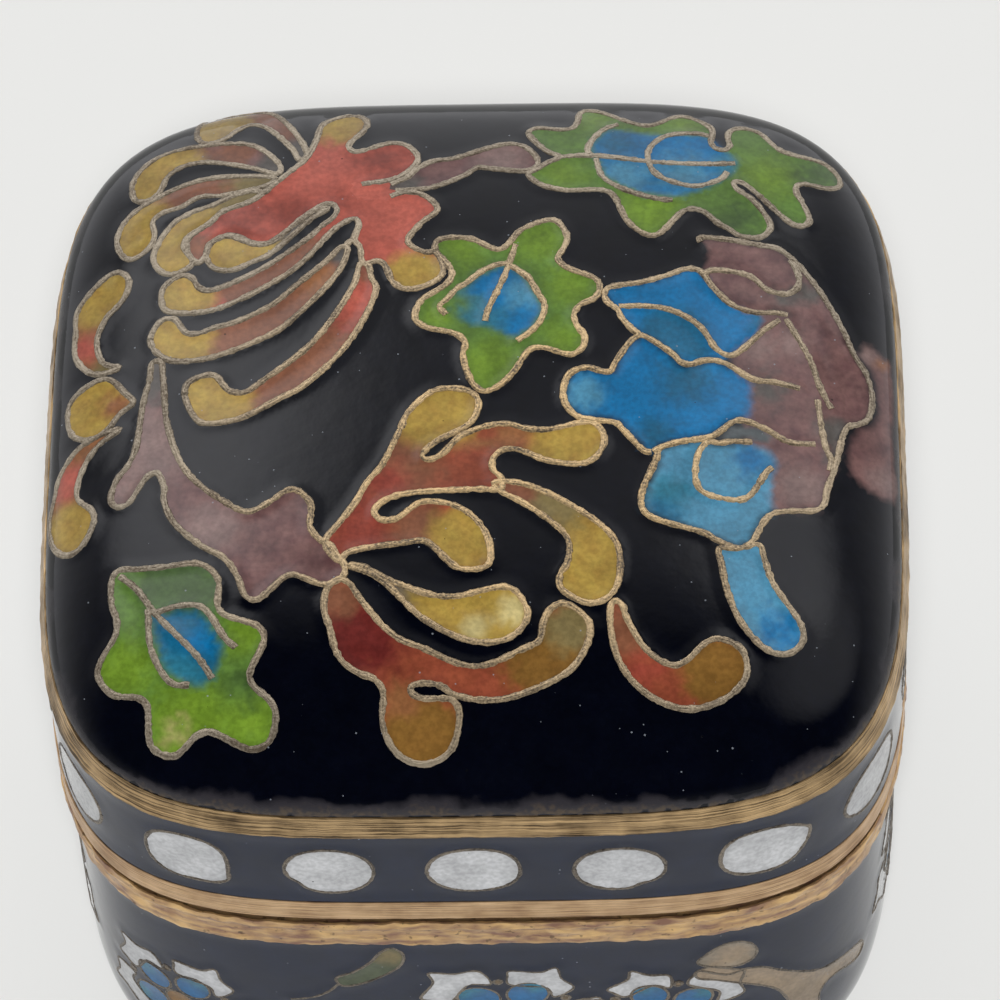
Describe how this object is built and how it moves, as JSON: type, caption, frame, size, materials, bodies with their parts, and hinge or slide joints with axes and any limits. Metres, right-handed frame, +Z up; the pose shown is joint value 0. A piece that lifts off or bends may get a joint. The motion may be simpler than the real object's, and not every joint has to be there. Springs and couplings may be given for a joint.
{
  "type": "cloisonne enamel box",
  "caption": "Small square trinket box with a domed lift-off lid, enamelled copper with bent-wire floral cells and brass edges, hollow inside.",
  "frame": {"origin": "centre of the foot ring's underside, on the surface that the box stands on", "axes": "+Z up through the middle of the lid; -Y is the front side and +X is to its right"},
  "size_m": [0.05, 0.05, 0.0404],
  "materials": {
    "dark_enamel": "glossy blue-black fired enamel with coloured floral cells",
    "brass_edge": "worn, tarnished, finely scratched brass",
    "cloison_wire": "gilt cloison wire, worn and greyed",
    "counter_enamel": "glossy turquoise enamel inside and underneath"
  },
  "bodies": {
    "root": {"base_shell": "dark_enamel", "lid_shell": "dark_enamel", "base_rim": "brass_edge", "lid_shoulder_rim": "brass_edge", "lid_lower_rim": "brass_edge", "base_locating_lip": "brass_edge", "base_foot_rim": "brass_edge"}
  },
  "joints": []
}
